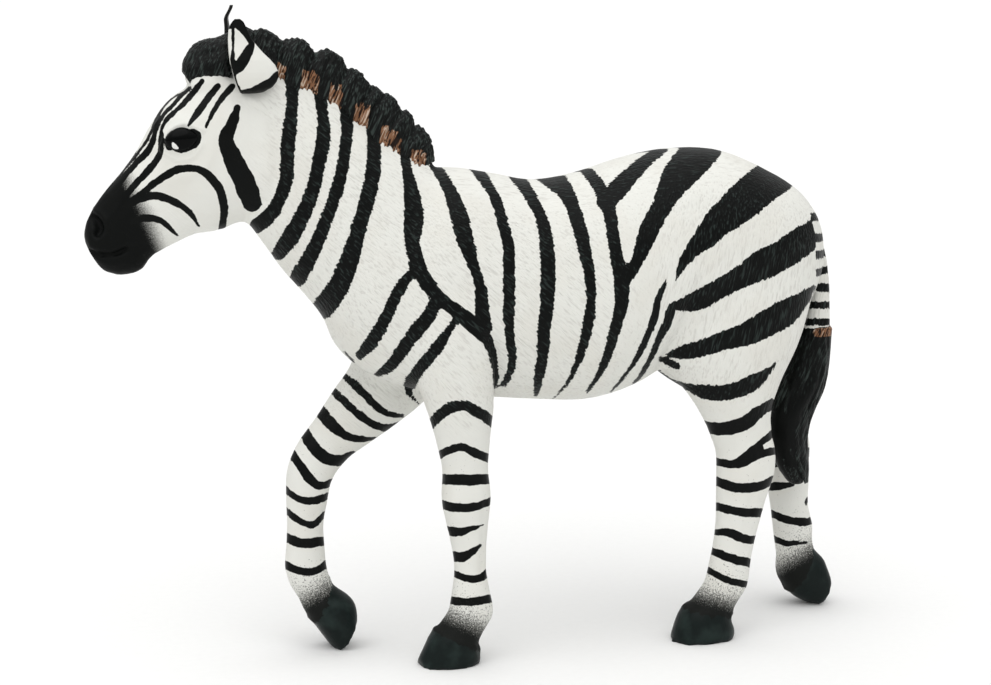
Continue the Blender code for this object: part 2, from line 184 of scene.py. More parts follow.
def turned(spots):
    """The drawn points with the head and neck, but no leg, bent sideways along an arc."""
    radius = TURN_LENGTH / TURN
    share = ramp(spots[:, 2], *TURN_FADE)
    ahead = np.maximum(TURN_START - spots[:, 0], 0)
    angle = np.minimum(ahead / TURN_LENGTH, 1) * TURN
    straight = np.maximum(ahead - TURN_LENGTH, 0)
    out = radius - spots[:, 1]
    bent = spots.copy()
    bent[:, 0] = TURN_START - out * np.sin(angle) - straight * np.cos(angle)
    bent[:, 1] = radius - out * np.cos(angle) + straight * np.sin(angle)
    return spots + (bent - spots) * ((ahead > 0) * share)[:, None]


def unturned(spots):
    """The drawn points that turned() takes to these ones."""
    drawn = spots.copy()
    for _ in range(9):
        drawn += spots - turned(drawn)
    return drawn


def points_of(mesh, field="co"):
    values = np.empty(3 * len(mesh.vertices), np.float32)
    mesh.vertices.foreach_get(field, values)
    return values.reshape(-1, 3).astype(float)


def set_points(mesh, spots):
    mesh.vertices.foreach_set("co", spots.ravel())
    mesh.update()


def set_attribute(mesh, name, values):
    """A number at each vertex, for the material to read."""
    layer = mesh.attributes.new(name, "FLOAT", "POINT")
    layer.data.foreach_set("value", np.asarray(values, np.float32))


def modified(mesh, kind, **settings):
    """The mesh after one modifier."""
    carrier = stood("carrier", mesh)
    change = carrier.modifiers.new("change", kind)
    for name, value in settings.items():
        setattr(change, name, value)
    graph = bpy.context.evaluated_depsgraph_get()
    made = bpy.data.meshes.new_from_object(carrier.evaluated_get(graph))
    bpy.data.objects.remove(carrier)
    return made


def fused(mesh, grain):
    return modified(mesh, "REMESH", mode="VOXEL", voxel_size=grain)


def eased(mesh, rounds, hold=None, swell=-0.52):
    """Evens out the skin; hold is one where it stays, and swell below nought keeps it full."""
    spots = points_of(mesh)
    ends = np.empty(2 * len(mesh.edges), np.int32)
    mesh.edges.foreach_get("vertices", ends)
    a, b = ends.reshape(-1, 2).T
    both = np.concatenate([a, b])
    other = np.concatenate([b, a])
    count = np.maximum(np.bincount(both, minlength=len(spots)), 1)
    free = np.ones(len(spots)) if hold is None else 1 - hold
    for k in range(2 * rounds):
        mean = np.stack([np.bincount(both, spots[other, axis], len(spots)) for axis in range(3)], 1)
        step = 0.5 if k % 2 == 0 else swell
        spots += (mean / count[:, None] - spots) * (step * free)[:, None]
    set_points(mesh, spots)


def place(mesh):
    """From the drawn frame in millimetres to the figure's own in metres."""
    set_points(mesh, (turned(points_of(mesh)) - MIDDLE) / 1000)


def smooth_rows(rows, steps):
    """Rows along a smooth curve through the given rows, spaced by the distance between them."""
    rows = np.array(rows, float)
    gaps = np.maximum(np.linalg.norm(np.diff(rows, axis=0), axis=1), 1e-6)
    slopes = np.gradient(rows, np.concatenate([[0], np.cumsum(gaps)]), axis=0)
    out = [rows[0]]
    for k, gap in enumerate(gaps):
        for t in np.linspace(0, 1, steps + 1)[1:]:
            a = (2 * t**3 - 3 * t**2 + 1) * rows[k] + (3 * t**2 - 2 * t**3) * rows[k + 1]
            b = (t**3 - 2 * t**2 + t) * slopes[k] + (t**3 - t**2) * slopes[k + 1]
            out.append(a + gap * b)
    return np.array(out)


def new_piece(name, mesh, material):
    """A smooth piece of the figure that rides on it and stands for part of the solid."""
    mesh.materials.clear()
    mesh.materials.append(material)
    mesh.polygons.foreach_set("use_smooth", np.ones(len(mesh.polygons), bool))
    piece = stood(name, mesh)
    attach(piece, "root")
    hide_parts("zebra")


# Where the solid's ears stand: root, tip and how far each reaches round that line. They shrink to
# stumps inside the head, which are then closed over by evening out the skin.
SOLID_EARS = (((-42.8, -4.6, 104.9), (-46.7, -7.6, 118.3), (4.8, 2.8)),
              ((-46, 4.9, 105.9), (-47.2, 7.4, 119.7), (2.9, 4.8)))
STUMP_SHARE = 0.2
STUMP_ROUNDS = 60
# The line at the mane's foot and the forelock's foot, and what is left of each above it.
MANE_ROOT = [(-44.5, 107), (-36, 105.5), (-28, 101), (-20, 95), (-12, 90)]
MANE_SHARE = 0.3
BROW = (-50, 107.4)
BROW_SHARES = (0.8, 0.25)

skin = modified(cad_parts["zebra"].data.copy(), "WELD", merge_threshold=1e-6)
drawn = unturned(points_of(skin) * 1000 + MIDDLE)
x, y, z = drawn.T
stumps = np.zeros(len(drawn))
for root, tip, reach in SOLID_EARS:
    root = np.array(root)
    share = np.clip((z - root[2]) / (tip[2] - root[2]), 0, 1)
    middle = root + share[:, None] * (np.array(tip) - root)
    near = (np.abs(x - middle[:, 0]) < reach[0]) & (np.abs(y - middle[:, 1]) < reach[1])
    near &= (z > root[2] - 0.6) & (abs(y) > 2.2)
    anchor = root * (1, 0.8, 1) - (0, 0, 1)
    drawn[near] = anchor + STUMP_SHARE * (drawn[near] - anchor)
    stumps[near] = 1
set_points(skin, drawn)
eased(skin, STUMP_ROUNDS, 1 - stumps, swell=0.5)
drawn = points_of(skin)
x, y, z = drawn.T
mane_foot = np.interp(x, *np.array(MANE_ROOT).T) + 0.3
hair = (x > -48) & (x < -8.5) & (z > mane_foot) & (abs(y) < 4.6)
drawn[hair, 2] = (mane_foot + MANE_SHARE * (z - mane_foot))[hair]
drawn[hair, 1] *= 0.8
front = (x <= -46.5) & (x > -58) & (z > BROW[1]) & (abs(y) < 5.2)
for axis, level, share in zip((0, 2), BROW, BROW_SHARES):
    drawn[front, axis] = level + share * (drawn[front, axis] - level)

# The skin is drawn twice as fine on the head: the head is blown up about the throat, the skin is
# laid over it in even steps, and it is shrunk again.
HEAD_MIDDLE = np.array((-44.0, 0, 95.0))
HEAD_FINENESS = 2.0
HEAD_FADE = (-51, -37)
steps = np.linspace(-80, 80, 1601)
swollen = 1 + (HEAD_FINENESS - 1) * (1 - ramp(steps, *HEAD_FADE))
spread = HEAD_MIDDLE[0] + swollen * (steps - HEAD_MIDDLE[0])
growth = np.interp(drawn[:, 0], steps, swollen)
set_points(skin, HEAD_MIDDLE + (drawn - HEAD_MIDDLE) * growth[:, None])
body = fused(skin, SKIN_GRAIN)
drawn = points_of(body)
growth = np.interp(drawn[:, 0], spread, swollen)
drawn = HEAD_MIDDLE + (drawn - HEAD_MIDDLE) / growth[:, None]
set_points(body, drawn)

# The solid's facets are evened out all over, and more on the trunk and neck, where they are wide.
SKIN_ROUNDS = 12
TRUNK_ROUNDS = 30
HOCK_SLIMMING = 0.9

x, y, z = drawn.T
trunk = ramp(z, 44, 54) * ramp(x, -46, -36)
eased(body, SKIN_ROUNDS)
eased(body, TRUNK_ROUNDS, 1 - trunk, swell=-0.505)
drawn = points_of(body)
x, y, z = drawn.T
# The right hock is a little slimmer than the solid's, and hides behind the tuft.
hock = HOCK_SLIMMING * (y > 0.5) * ramp(x, 61, 68) * ramp(z, 23, 30) * (1 - ramp(z, 42, 50))
drawn[:, 0] -= hock
set_points(body, drawn)
normals = points_of(body, "normal")

# Lines of the sculptor's tool in the side view, on the left, the right or both sides: points
# (x, z), half width and depth in millimetres, where a depth below nought stands proud. They are
# the mouth, nostril, its wing, lids, brow, tear line, cheekbone, jaw, stifle, elbows, shoulder and
# the legs' knees, tendons and hocks.
BOTH = (-1, 1)
TOOLED = [
    (BOTH, [(-73.2, 77.4), (-71, 76.7), (-68.6, 76.6), (-66.2, 77.5)], 0.35, 0.5),
    (BOTH, [(-71.9, 83.2), (-71, 82.4), (-70.6, 81.2), (-71.2, 80.4)], 0.55, 0.85),
    (BOTH, [(-71.4, 84.4), (-69.9, 83.2), (-69.5, 81.4), (-70, 79.8)], 0.5, -0.22),
    (BOTH, [(-59.6, 95.4), (-58.4, 98.4), (-55.6, 99.9), (-52.6, 98.7)], 0.45, -0.4),
    (BOTH, [(-59.4, 95), (-56.8, 93.6), (-54.2, 94.2), (-52.6, 96.4)], 0.4, -0.3),
    (BOTH, [(-60.8, 99.6), (-57.6, 101.4), (-53.6, 101.2)], 0.7, 0.2),
    (BOTH, [(-60.6, 94.4), (-62.4, 92), (-64.4, 89.6)], 0.9, 0.25),
    (BOTH, [(-61.5, 88.6), (-57, 90.4), (-52.6, 91.8)], 1.2, -0.12),
    (BOTH, [(-40.6, 99.4), (-39.6, 93), (-41.4, 86.4), (-44.6, 82.6)], 0.8, 0.3),
    (BOTH, [(30.4, 53.6), (32.4, 59.6), (34.4, 66), (35.4, 70)], 0.9, 0.35),
    ((-1,), [(-1.6, 48.6), (-1.8, 53), (-3.4, 59)], 0.7, 0.5),
    ((1,), [(-7, 49), (-6, 55), (-7, 61)], 0.7, 0.5),
    (BOTH, [(-18.5, 82), (-21, 72), (-21.5, 64)], 2.2, 0.22),
    ((-1,), [(-10.4, 34.5), (-10.2, 31), (-9.4, 27.5)], 0.8, -0.2),
    ((-1,), [(-4.4, 30), (-4.6, 24), (-4.9, 17)], 0.6, 0.25),
    ((-1,), [(47.5, 40), (49.5, 36.5), (51, 32.4)], 0.7, 0.25),
    ((-1,), [(48.4, 28), (47.6, 22), (46.9, 16)], 0.6, 0.25),
    ((1,), [(-30.4, 31), (-31, 25), (-31.2, 18)], 0.6, 0.25),
    ((1,), [(66, 30), (66.6, 24), (67.2, 17.5)], 0.6, 0.25),
]


def near_line(flat, line):
    """How far each flat point is from a line of points."""
    near = np.full(len(flat), np.inf)
    for a, b in zip(line, line[1:]):
        span = b - a
        t = np.clip((flat - a) @ span / (span @ span), 0, 1)
        near = np.minimum(near, np.linalg.norm(flat - a - t[:, None] * span, axis=1))
    return near


push = np.zeros(len(drawn))
for sides, line, wide, depth in TOOLED:
    line = smooth_rows(line, 5)
    low, high = line.min(0) - 3 * wide, line.max(0) + 3 * wide
    flat = drawn[:, (0, 2)]
    facing = sum(ramp(side * normals[:, 1], 0.1, 0.4) for side in sides)
    spot = np.flatnonzero(((flat > low) & (flat < high)).all(axis=1) & (facing > 0))
    push[spot] += (facing[spot] * depth * np.exp(-((near_line(flat[spot], line) / wide) ** 2)))
drawn -= normals * push[:, None]
set_points(body, drawn)


# The paint: sprayed off-white all over, near-black stripes by brush, a sprayed black muzzle and
# feet, and dark green-black hooves. A stripe is a brush stroke, its middle and width given in
# pixels of the photo's view; the body's strokes are mirrored to the right side.
PIXELS_PER_MM = 5.45
STRIPES = {}
STRIPES["body"] = [
    [(237, 108, 7), (233, 122, 11), (226, 140, 15), (232, 157, 19), (242, 177, 21), (248, 191, 22),
     (252, 202, 19)],
    [(128, 202, 5), (143, 192, 6), (155, 183, 7), (168, 174, 8), (180, 169, 8), (192, 168, 7),
     (203, 171, 8), (212, 179, 9), (219, 188, 9), (223, 200, 9), (224, 212, 8), (222, 229, 7)],
    [(128, 206, 5), (140, 199, 8), (155, 196, 8), (168, 199, 8), (180, 205, 7), (190, 213, 6),
     (199, 226, 2)],
    [(132, 222, 6), (145, 218, 8), (155, 219, 7), (163, 222, 6), (170, 228, 5), (179, 237, 1)],
    [(202, 81, 5), (195, 90, 6), (187, 100, 6), (178, 109, 5), (168, 118, 5), (162, 128, 4),
     (161, 142, 6), (160, 154, 6), (152, 166, 7), (141, 178, 7), (128, 193, 7), (118, 206, 9)],
    [(190, 88, 4), (180, 97, 4), (172, 106, 4), (165, 113, 4), (159, 122, 5), (155, 132, 5),
     (152, 143, 6), (146, 153, 7), (136, 163, 6), (124, 177, 6), (111, 192, 8)],
    [(183, 92, 2), (170, 100, 2), (163, 107, 3), (156, 122, 4), (148, 138, 3), (140, 150, 3),
     (128, 164, 4), (114, 180, 4)],
    [(218, 86, 6), (208, 98, 7), (198, 112, 7), (188, 126, 3)],
    [(232, 87, 7), (222, 98, 6), (213, 112, 5), (206, 127, 3)],
    [(292, 84, 13), (292, 107, 12), (290, 125, 14), (288, 144, 14), (287, 162, 14), (286, 181, 14),
     (280, 198, 13), (271, 214, 15), (257, 226, 15)],
    [(319, 92, 12), (323, 120, 12), (323, 140, 15), (319, 161, 14), (315, 181, 14), (309, 201, 15),
     (300, 220, 16), (290, 238, 18), (278, 254, 13)],
    [(344, 100, 11), (347, 130, 12), (345, 152, 12), (341, 175, 13), (335, 196, 13), (327, 217, 13),
     (319, 238, 14), (309, 259, 16), (298, 278, 17)],
    [(371, 116, 12), (374, 148, 14), (373, 173, 15), (368, 197, 16), (361, 220, 15), (355, 243, 17),
     (347, 267, 20), (337, 289, 22), (323, 308, 22)],
    [(403, 146, 10), (407, 169, 10), (410, 186, 14), (413, 204, 18), (414, 221, 20), (412, 239, 16),
     (415, 256, 16), (421, 273, 15), (433, 291, 14), (447, 304, 13), (461, 315, 14), (475, 327, 15),
     (487, 340, 12), (492, 352, 9), (495, 368, 7), (496, 386, 5)],
    [(412, 272, 7), (402, 285, 12), (394, 300, 12), (387, 315, 12), (379, 330, 13), (370, 344, 13),
     (360, 355, 9)],
    [(436, 302, 13), (428, 317, 14), (418, 329, 15), (408, 342, 13), (399, 355, 13), (389, 367, 11),
     (376, 375, 5)],
    [(456, 319, 7), (448, 332, 8), (440, 344, 12), (430, 356, 12), (421, 367, 12), (413, 380, 11),
     (410, 391, 8), (420, 406, 2)],
    [(344, 351, 1.5), (353, 362, 3)],
    [(434, 164, 10), (447, 185, 12), (454, 201, 15), (460, 219, 18), (464, 237, 17), (470, 254, 14),
     (476, 272, 10), (481, 290, 12), (482, 308, 14), (484, 328, 16)],
    [(474, 165, 13), (489, 187, 10), (498, 205, 11), (503, 224, 11), (508, 244, 12), (509, 265, 12),
     (509, 305, 12), (509, 326, 10), (511, 346, 9), (512, 366, 8), (504, 384, 6)],
    [(514, 172, 14), (531, 197, 12), (541, 217, 12), (546, 239, 14), (548, 261, 15), (548, 283, 15),
     (547, 306, 14), (544, 328, 13), (543, 350, 12), (540, 372, 11), (536, 394, 5)],
    [(548, 172, 26), (567, 194, 16), (575, 213, 14), (581, 234, 14), (586, 256, 13), (590, 277, 11),
     (591, 299, 10), (589, 321, 11), (584, 342, 10), (577, 363, 7), (568, 382, 4), (553, 399, 1)],
    [(580, 164, 10), (592, 177, 12), (604, 195, 14), (611, 220, 13), (614, 242, 13), (617, 258, 13),
     (621, 275, 16), (622, 290, 15), (620, 311, 13), (614, 333, 11), (608, 354, 9), (599, 374, 6),
     (586, 393, 3)],
    [(606, 201, 19), (617, 190, 20), (633, 173, 16), (646, 161, 13), (664, 148, 9)],
    [(625, 280, 12), (631, 271, 12), (639, 257, 13), (645, 241, 18), (652, 224, 20), (661, 208, 20),
     (669, 192, 25), (678, 177, 32), (690, 163, 36), (704, 147, 36)],
    [(675, 283, 1), (682, 265, 9), (693, 250, 15), (706, 237, 23), (718, 223, 29), (732, 211, 34),
     (746, 199, 38), (759, 188, 38), (778, 174, 38)],
    [(679, 306, 10), (699, 300, 21), (716, 291, 20), (732, 282, 21), (748, 273, 24), (764, 264, 31),
     (781, 256, 29), (797, 245, 30), (815, 233, 27)],
    [(684, 303, 8), (673, 307, 9), (668, 320, 9), (661, 335, 8), (654, 351, 6), (644, 370, 5),
     (630, 389, 2)],
    [(669, 276, 1), (660, 295, 6), (655, 315, 8), (648, 335, 7), (640, 352, 6), (629, 370, 4),
     (610, 393, 2)],
    [(668, 355, 5), (686, 352, 15), (706, 347, 17), (726, 340, 19), (746, 334, 23), (764, 325, 26),
     (782, 315, 27), (798, 303, 18), (814, 287, 4)],
    [(661, 359, 6), (669, 362, 8), (677, 366, 7)],
    [(674, 383, 6), (687, 387, 7), (704, 392, 14), (720, 393, 16), (737, 390, 16), (752, 383, 17),
     (766, 373, 8), (778, 361, 1)],
]
STRIPES["left_fore"] = [
    [(413, 376, 11), (408, 387, 10), (409, 394, 6), (415, 400, 3), (422, 408, 2)],
    [(426, 430, 8), (440, 415, 11), (455, 406, 11), (465, 406, 10), (478, 412, 11), (493, 423, 10)],
    [(436, 457, 8), (450, 450, 8), (463, 447, 8), (475, 453, 9), (490, 459, 9)],
    [(440, 479, 10), (465, 480, 11), (492, 479, 10)],
    [(438, 504, 9), (460, 508, 9), (478, 506, 8), (495, 499, 7)],
    [(444, 530, 10), (460, 532, 9), (470, 529, 6), (484, 525, 1)],
    [(448, 555, 9), (463, 557, 10), (472, 552, 7), (483, 543, 1)],
    [(449, 571, 6), (465, 578, 7), (475, 579, 8), (485, 575, 8), (492, 566, 5)],
    [(446, 600, 8), (470, 602, 8), (498, 597, 9)],
]
STRIPES["brisket"] = [
    [(409, 384, 10), (409, 393, 6), (415, 400, 3), (422, 408, 2)],
]
STRIPES["right_fore"] = [
    [(341, 373, 5), (355, 385, 8), (368, 398, 8), (378, 408, 7), (390, 414, 6), (403, 416, 4)],
    [(331, 389, 7), (345, 402, 8), (360, 415, 8), (375, 425, 8), (388, 428, 7), (402, 422, 3)],
    [(317, 407, 12), (332, 425, 12), (345, 435, 9), (360, 439, 7), (377, 438, 2)],
    [(303, 430, 11), (315, 449, 12), (328, 459, 12), (343, 460, 11), (352, 455, 9)],
    [(288, 448, 8), (300, 465, 9), (310, 479, 10), (320, 486, 8), (334, 481, 6)],
    [(283, 487, 6), (297, 498, 7), (310, 501, 8), (331, 495, 7)],
    [(283, 508, 6), (300, 521, 7), (312, 525, 7), (325, 513, 5)],
    [(282, 535, 8), (300, 543, 10), (325, 541, 9)],
    [(280, 562, 8), (300, 571, 8), (315, 571, 8), (330, 561, 7)],
]
STRIPES["left_hind"] = [
    [(700, 425, 11), (721, 429, 13), (734, 427, 14), (747, 422, 14), (757, 413, 12),
     (772, 404, 11)],
    [(714, 461, 8), (735, 464, 9), (750, 456, 14), (763, 442, 8), (776, 430, 6)],
    [(745, 460, 12), (760, 454, 8), (781, 450, 8)],
    [(712, 480, 9), (740, 488, 10), (760, 486, 9), (778, 477, 7)],
    [(712, 505, 8), (740, 512, 9), (768, 513, 9)],
    [(711, 532, 5), (730, 533, 9), (745, 539, 9), (760, 540, 8)],
    [(708, 549, 7), (730, 558, 9), (755, 564, 9)],
    [(703, 567, 6), (725, 579, 7), (753, 586, 7)],
]
STRIPES["right_hind"] = [
    [(655, 366, 10), (669, 362, 9), (682, 366, 7)],
    [(667, 382, 7), (680, 387, 8), (700, 396, 9)],
    [(690, 402, 8), (712, 411, 9), (742, 408, 10), (775, 396, 10), (812, 388, 4)],
    [(706, 420, 8), (728, 431, 9), (756, 427, 10), (785, 414, 9), (820, 404, 6)],
    [(728, 433, 8), (746, 448, 9), (772, 444, 9), (800, 432, 9), (826, 426, 6)],
    [(750, 447, 8), (765, 462, 9), (794, 458, 9), (815, 450, 8), (830, 447, 6)],
    [(765, 487, 8), (780, 486, 8), (793, 484, 4)],
    [(764, 510, 6), (785, 519, 8), (800, 522, 8), (817, 520, 8)],
    [(768, 536, 6), (785, 543, 6), (806, 542, 3)],
    [(807.5, 497, 2), (806, 504, 4)],
]
STRIPES["tail"] = [
    [(806, 286, 8), (836, 289, 9)],
    [(804, 305, 7), (836, 305, 7)],
    [(802, 322, 7), (836, 322, 7)],
]
# The black round the eye, and a spot left white inside a band of the left hind leg.
EYE_PAINT = [[(169.5, 147, 7), (173, 141, 17), (182, 140.5, 24), (190, 139, 21), (196, 136, 11)]]
BARE = [[(764, 446, 3), (771, 444, 7)]]

# Where the tail's root parts from the rump in the photo's view: row and column.
TAIL_EDGE = [(205, 805), (213, 809.7), (232, 814.4), (250, 815.5), (268, 815.5)]
# The bands that circle it, as heights at the rump's side; they sag towards the middle.
DOCK_BANDS = (79.4, 75.5, 72.3, 69)
DOCK_HALF = 0.78
DOCK_SAG = 0.12
# How far off, in pixels, a point counts as clear of every stroke, and how far a stroke is felt.
CLEAR = 12.0
BRUSH_REACH = 8
TUFT_BLACK = 4


def pixels(spots):
    """Where drawn points fall in the photo's view."""
    seen = (turned(spots) - MIDDLE) / 1000 - np.array(camera_place)
    depth = -seen @ np.array(camera_back)
    across = FOCAL_PIXELS * (seen @ np.array(camera_right)) / depth
    rise = FOCAL_PIXELS * (seen @ np.array(camera_up)) / depth
    return np.stack([PHOTO_WIDTH / 2 + across, PHOTO_HEIGHT / 2 - rise], 1)


def mirrored_pixels(spots):
    """The same, with the right side's points mirrored to the left side."""
    return pixels(spots * (1, 0, 1) - (0, 1, 0) * abs(spots))


def painted(seen, strokes, where):
    """How far inside the strokes' edges each point is, in pixels, and below nought outside."""
    inside = np.full(len(seen), -CLEAR)
    for stroke in strokes:
        rows = smooth_rows(stroke, 4)
        reach = rows[:, 2].max() / 2 + BRUSH_REACH
        low, high = rows[:, :2].min(0) - reach, rows[:, :2].max(0) + reach
        spot = np.flatnonzero(where & ((seen > low) & (seen < high)).all(axis=1))
        flat = seen[spot]
        best = inside[spot]
        for a, b in zip(rows, rows[1:]):
            span = (b - a)[:2]
            t = np.clip((flat - a[:2]) @ span / (span @ span), 0, 1)
            away = np.linalg.norm(flat - a[:2] - t[:, None] * span, axis=1)
            best = np.maximum(best, (a[2] + t * (b[2] - a[2])) / 2 - away)
        inside[spot] = best
    return inside


x, y, z = drawn.T
mirrored = mirrored_pixels(drawn)
straight = pixels(drawn)
tail_front = np.interp(z, (49, 55, 62, 69, 75, 80), (62.6, 63.4, 64.5, 64.8, 63.6, 61.6))
tail = (x > tail_front) & (abs(y) < 2.1) & (z < 82)
dock = (x > 56) & (z > 66.6) & (z < 81)
dock &= mirrored[:, 0] > np.interp(mirrored[:, 1], *zip(*TAIL_EDGE))
tail |= dock
tuft = (z < 56.6) & (z > 24.5) & (x > 55) & (abs(y) < 4.3)
limbs = {
    "body": (z > 44) & ~tail & (np.sign(y) * normals[:, 1] > -0.3),
    "left_fore": (y < 0) & (z < 54) & (x < 8) & (x > -22),
    "brisket": (y > 0) & (y < 7) & (z < 54) & (x < 0) & (normals[:, 1] < 0),
    "right_fore": (y > 0) & (z < 54) & (x < 0),
    "left_hind": (y < -0.5) & (z < 52) & (x > 26) & ~tuft,
    "right_hind": (y > 0.5) & (z < 56) & (x > 26) & ~tuft,
    "tail": tail,
}
seen = {"body": mirrored, "tail": mirrored}
stripe = np.full(len(drawn), -CLEAR)
for limb, where in limbs.items():
    stripe = np.maximum(stripe, painted(seen.get(limb, straight), STRIPES[limb], where))
stripe = np.maximum(stripe, painted(seen["body"], EYE_PAINT, z > 90))
rings = np.array(DOCK_BANDS)[:, None]
band = abs(z[dock] + DOCK_SAG * (10 - abs(y[dock])) - rings).min(0)
stripe[dock] = PIXELS_PER_MM * (DOCK_HALF - band)
stripe = np.minimum(stripe, -painted(straight, BARE, y < 0))
stripe[tuft] = TUFT_BLACK
set_attribute(body, "stripe", stripe / PIXELS_PER_MM)

# The sprayed black of the muzzle: full up to its edge in the photo's view, (row, column), and
# thinning out behind it over as many pixels as MUZZLE_FADE says. Its level is one where black and
# nought where bare, and NO_SOOT is low enough to stay clean under the specks.
MUZZLE_EDGE = ((160, 112), (174, 119), (187, 122), (200, 128), (210, 133), (222, 137), (243, 148),
               (262, 158))
MUZZLE_FADE = (26, 32, 34, 38, 42, 44, 38, 32)
SOOT_FULL = 1.3
SOOT_FALL = 1.7
SOOT_LEAD = 6
NO_SOOT = -1
flat = seen["body"]
edge = np.interp(flat[:, 1], *np.array(MUZZLE_EDGE).T)
fade = np.interp(flat[:, 1], [v for v, _ in MUZZLE_EDGE], MUZZLE_FADE)
spray_and_shade = SOOT_FULL - SOOT_FALL * ((flat[:, 0] - edge + SOOT_LEAD) / fade)
spray_and_shade[(x > -44) | (z > 100)] = NO_SOOT
set_attribute(body, "spray_and_shade", np.clip(spray_and_shade, NO_SOOT, 2))

# Each hoof's upper rim in the side view, front and back (x, z), with a rough lip of hair above it.
# The spray on each pastern is fine specks: in the photo's view its slope about a column, and the
# rows where it is full, grey and gone. Between those its level runs through DUST_LEVELS, and a
# trace of it, LEG_DUST, is left on the legs.
HOOVES = {
    "left_fore": (((-14.2, 6.7), (-6, 2.6)), (460, -0.45, 628, 607, 584)),
    "right_fore": (((-31.5, 5.3), (-28.6, 11.6)), (295, 0.6, 615, 594, 572)),
    "left_hind": (((34.4, 6.4), (44, 4.4)), (715, -0.3, 606, 587, 556)),
    "right_hind": (((65.5, 2.7), (68.4, 8.5)), (780, 0.6, 575, 555, 528)),
}
LIP_MM = 0.32
LIP_RISE = 0.45
LIP_SPREAD = 0.6
LEG_DUST = -0.36
DUST_LEVELS = (LEG_DUST, -0.2, 0.2, 0.9, 1.6)
DUST_RUN = 12
NO_HOOF = -3.0
hoof = np.full(len(drawn), NO_HOOF)
dust = NO_SOOT + (LEG_DUST - NO_SOOT) * (1 - ramp(z, 40, 50))
for limb, ((front, back), (column, slope, full, grey, gone)) in HOOVES.items():
    front = np.array(front)
    along = np.array(back) - front
    up = np.array((-along[1], along[0])) / np.linalg.norm(along)
    foot = limbs[limb] & (z < 24)
    above = (drawn[foot][:, (0, 2)] - front) @ up
    hoof[foot] = -above
    row = straight[foot, 1] + slope * (straight[foot, 0] - column)
    rows = (gone - DUST_RUN, gone, grey, full, full + DUST_RUN)
    dust[foot] = np.interp(row, rows, DUST_LEVELS)
    rough = 0.8 + 0.35 * np.sin(2.3 * drawn[foot, 0] + 1.7 * drawn[foot, 1])
    lip = LIP_MM * rough * np.exp(-(((above - LIP_RISE) / LIP_SPREAD) ** 2))
    lip *= ramp(z[foot], 0.3, 1.5)
    drawn[foot] += normals[foot] * lip[:, None]
set_points(body, drawn)
set_attribute(body, "hoof", hoof)
set_attribute(body, "dust", dust)

# The fur's marks turn along the back's crown, lean the other way on the rump, and fade out on the
# legs and the head.
set_attribute(body, "crown", ramp(normals[:, 2], 0.45, 0.85))
set_attribute(body, "lay", ramp(x, 12, 34))
set_attribute(body, "fur", np.clip(0.15 + 0.85 * ramp(z, 38, 52) * ramp(x, -46, -38), 0, 1))

# The finish: acrylic paint on soft PVC. Off-white is sprayed first; the brushed black catches on
# the fur's tool marks, so its edges are ragged, and the hooves' green-black is brushed last. It
# gives the eye a matt white, a black with a satin gloss, and horn that shines a little more.
# The fur's marks are also painted into the colour: lighter and darker streaks in the white are
# painted light and shade of their relief, the fine grey lines in the black are painted glints,
# and the lighter patches in the horn are a painted sheen. Sprayed specks and grit are drawn
# coarser than real ones, to show.
FUR_WIDTH_MM = 0.36
FUR_LENGTH_MM = 2.6
FUR_DEPTH_MM = 0.25
# How the marks lean from the upright on the shoulders, on the rump and along the back.
FUR_LEANS = (math.radians(-48), math.radians(12), math.radians(-84))
SPECK_MM = 0.17
GRIT_MM = 0.24
BRISTLE_MM = 1.3
HOOF_RIM_MM = 1.1
HORN_SHEEN_PATCH_MM = 3.2
PATCH_MM = 9
PAINT_IOR = 1.5
# Matt acrylic mirrors far less than bare plastic.
PAINT_SHINE = 0.09
WHITE_ROUGHNESS = 0.56
BLACK_ROUGHNESS = 0.42
HORN_ROUGHNESS = 0.36


def streaks(tree, lean, wide_mm, long_mm):
    """Fine marks drawn out along a line that leans from the upright in the side view."""
    place_on = add(tree, "TexCoord", "Object")
    along = add(tree, "Mapping", "Vector",
                {"Vector": place_on, "Rotation": (0, lean, 0),
                 "Scale": (wide_mm / 1000, wide_mm / 1000, long_mm / 1000)}, vector_type="TEXTURE")
    return add(tree, "TexNoise", "Fac",
               {"Vector": along, "Scale": 1.0, "Detail": 1.5, "Roughness": 0.5})


def broken(tree, level, pattern, weight):
    """A level broken up by a pattern: it gains weight times the pattern less one half."""
    centred = add(tree, "Math", "Value", {0: pattern, 1: 0.5}, operation="SUBTRACT")
    return add(tree, "Math", "Value", {0: centred, 1: weight, 2: level},
               operation="MULTIPLY_ADD")


def laid(tree, under, over, level, low, high, full=1.0, kind="RGBA"):
    """One coat's colour or roughness over another's: none at low and the full share at high."""
    share = add(tree, "MapRange", "Result",
                {"Value": level, "From Min": low, "From Max": high, "To Min": 0.0, "To Max": full},
                interpolation_type="SMOOTHSTEP")
    return add(tree, "Mix", "Result", {"Factor": share, "A": under, "B": over},
               data_type=kind)


paint, tree, shader = new_material("hand_painted_soft_pvc")
# The numbers that the skin carries at its points.
at = {name: add(tree, "Attribute", "Fac", attribute_name=name)
      for name in ("stripe", "spray_and_shade", "dust", "hoof", "lay", "crown", "fur")}
marks, rump, back = [streaks(tree, lean, FUR_WIDTH_MM, FUR_LENGTH_MM) for lean in FUR_LEANS]
marks = add(tree, "Mix", "Result", {"Factor": at["lay"], "A": marks, "B": rump})
marks = add(tree, "Mix", "Result", {"Factor": at["crown"], "A": marks, "B": back})
marks = add(tree, "Mix", "Result", {"Factor": at["fur"], "A": 0.5, "B": marks})
specks = grain(tree, SPECK_MM, 1.0)
